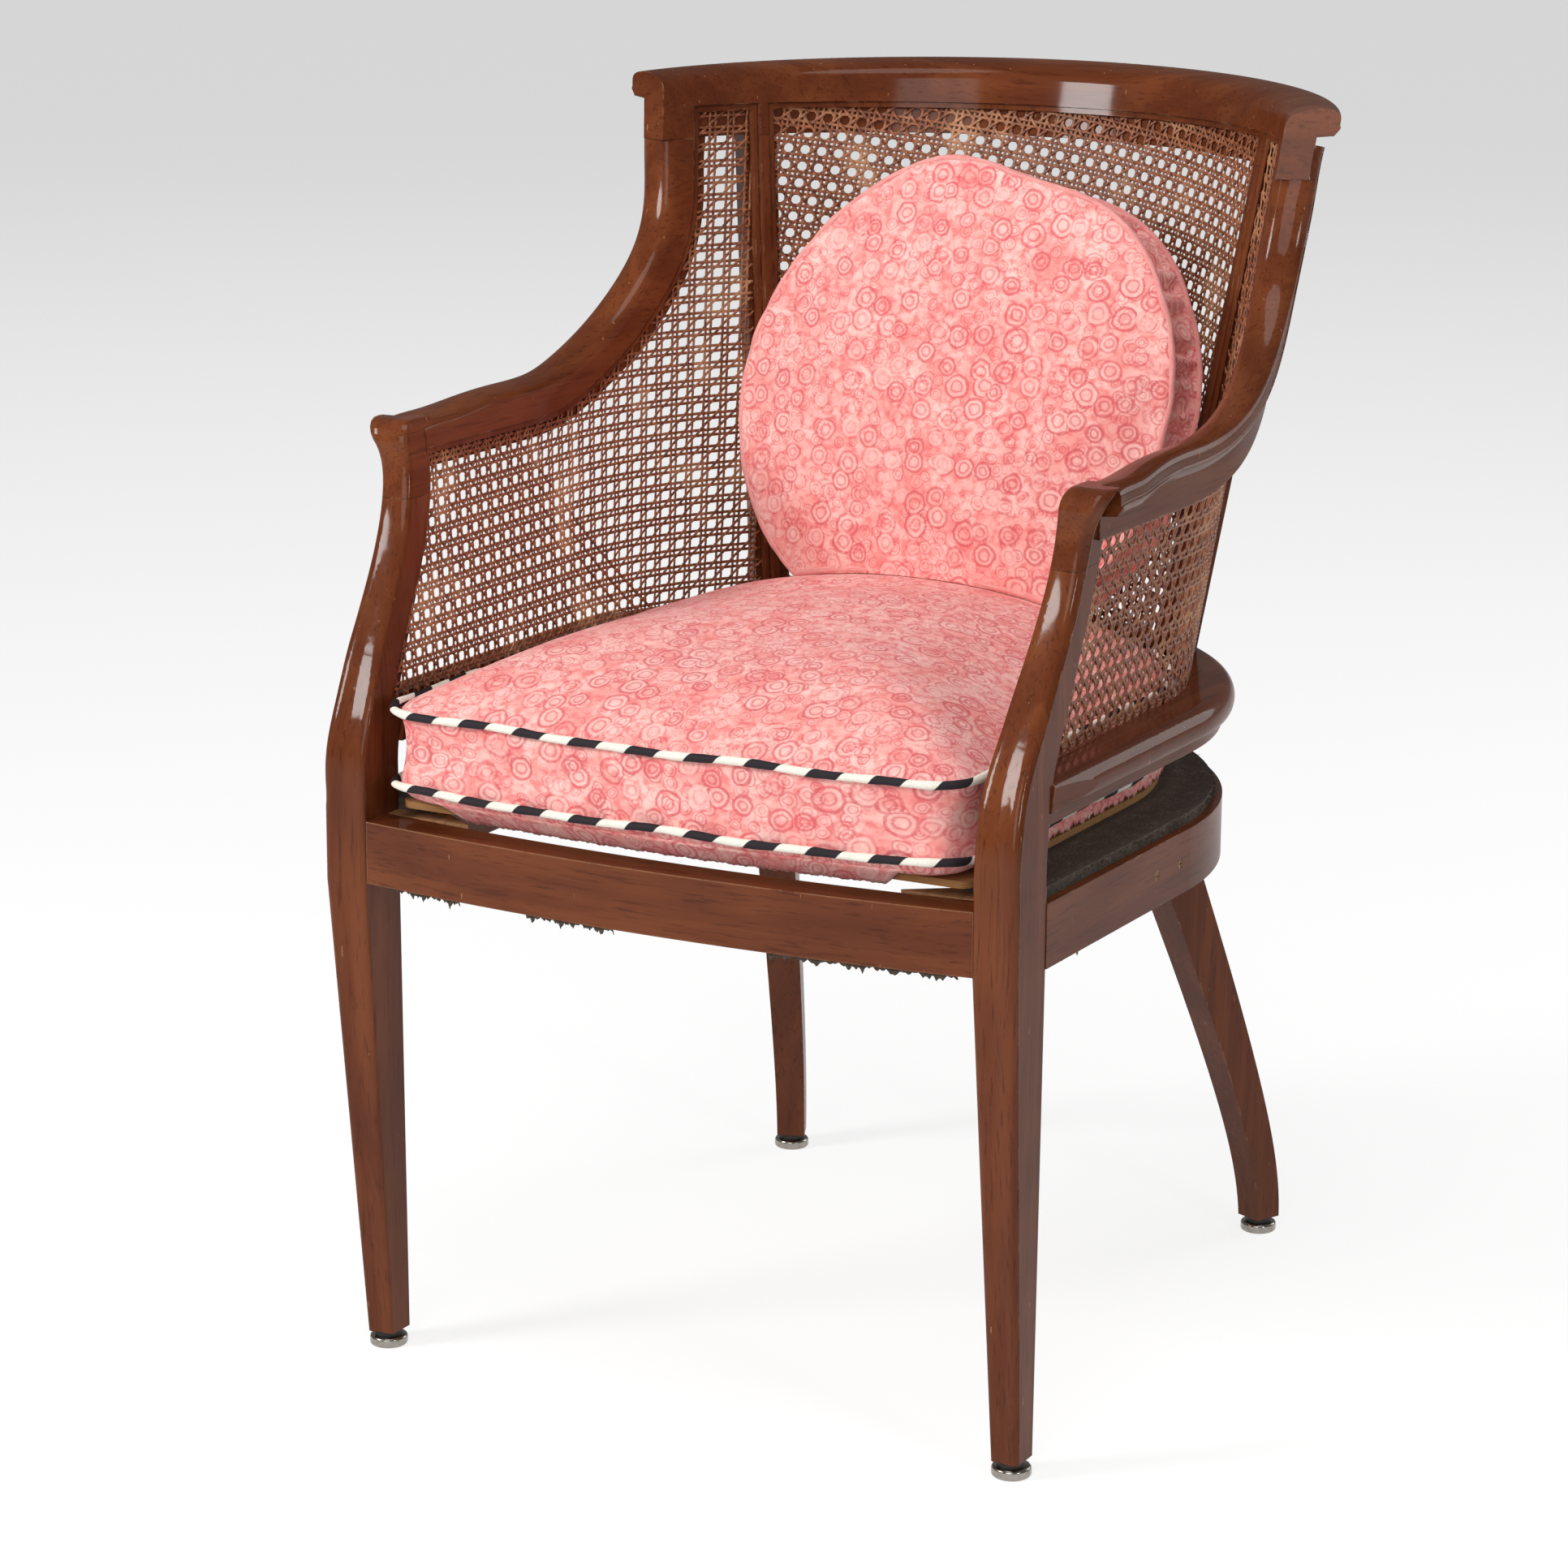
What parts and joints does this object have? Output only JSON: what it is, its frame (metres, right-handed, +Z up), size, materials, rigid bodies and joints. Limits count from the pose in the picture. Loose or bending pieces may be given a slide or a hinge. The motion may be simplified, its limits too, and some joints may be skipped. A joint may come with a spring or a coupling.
{
  "type": "barrel armchair",
  "caption": "Open barrel armchair with a caned wrap-round back, swept mahogany arms, tapered front and sabre rear legs, a boxed seat cushion and a round back cushion.",
  "frame": {"origin": "on the floor under the middle of the chair's box", "axes": "+Z up, the sitter faces -Y, +X is the chair's own left"},
  "size_m": [0.586, 0.6844, 0.9032],
  "materials": {
    "mahogany": "satin",
    "pale_wood": "raw",
    "plywood": "raw",
    "cane": "satin",
    "cane_spline": "satin",
    "black_cloth": "matte",
    "pink_cloth": "matte",
    "pink_piping": "matte",
    "striped_piping": "matte",
    "nickel": "polished",
    "steel": "plain",
    "black_rubber": "matte"
  },
  "bodies": {
    "frame": {"front_post_left": "mahogany", "front_post_right": "mahogany", "rear_leg_left": "mahogany", "rear_leg_right": "mahogany", "arm_left": "mahogany", "arm_right": "mahogany", "crest_rail": "mahogany", "lower_rail_left": "mahogany", "lower_rail_right": "mahogany", "lower_rail_back": "mahogany", "back_stile_left": "mahogany", "back_stile_right": "mahogany", "stub_post_left": "mahogany", "stub_post_right": "mahogany", "seat_rail_front": "mahogany", "seat_rail_left": "mahogany", "seat_rail_right": "mahogany", "seat_rail_back": "mahogany", "side_block_left": "pale_wood", "side_block_right": "pale_wood", "corner_block_left": "pale_wood", "corner_block_right": "pale_wood", "seat_deck": "black_cloth", "seat_board": "plywood", "dust_cover_strips": "black_cloth", "cane_panel_left": "cane", "cane_panel_right": "cane", "cane_panel_back": "cane", "cane_spline_left": "cane_spline", "cane_spline_right": "cane_spline", "cane_spline_back": "cane_spline", "glide_caps": "nickel", "glide_cushions": "black_rubber", "glide_nails": "steel", "rail_screws": "steel", "arm_dowels": "pale_wood", "crest_dowels": "pale_wood", "front_rail_dowels": "pale_wood", "side_rail_dowels": "pale_wood", "rear_leg_dowels": "pale_wood", "stub_post_dowels": "pale_wood", "stile_dowels": "pale_wood", "hoop_dowels": "pale_wood"},
    "seat_cushion": {"seat_cushion": "pink_cloth", "seat_cushion_welt_upper": "striped_piping", "seat_cushion_welt_lower": "striped_piping"},
    "back_cushion": {"back_cushion": "pink_cloth", "back_cushion_welt_front": "pink_piping", "back_cushion_welt_rear": "pink_piping"}
  },
  "joints": [
    {"name": "seat_cushion_lift", "type": "slide", "parent": "frame", "child": "seat_cushion", "axis": [0, 0, 1], "range_m": [0, 0.5]},
    {"name": "back_cushion_lift", "type": "slide", "parent": "seat_cushion", "child": "back_cushion", "axis": [0, 0, 1], "range_m": [0, 0.4]}
  ]
}
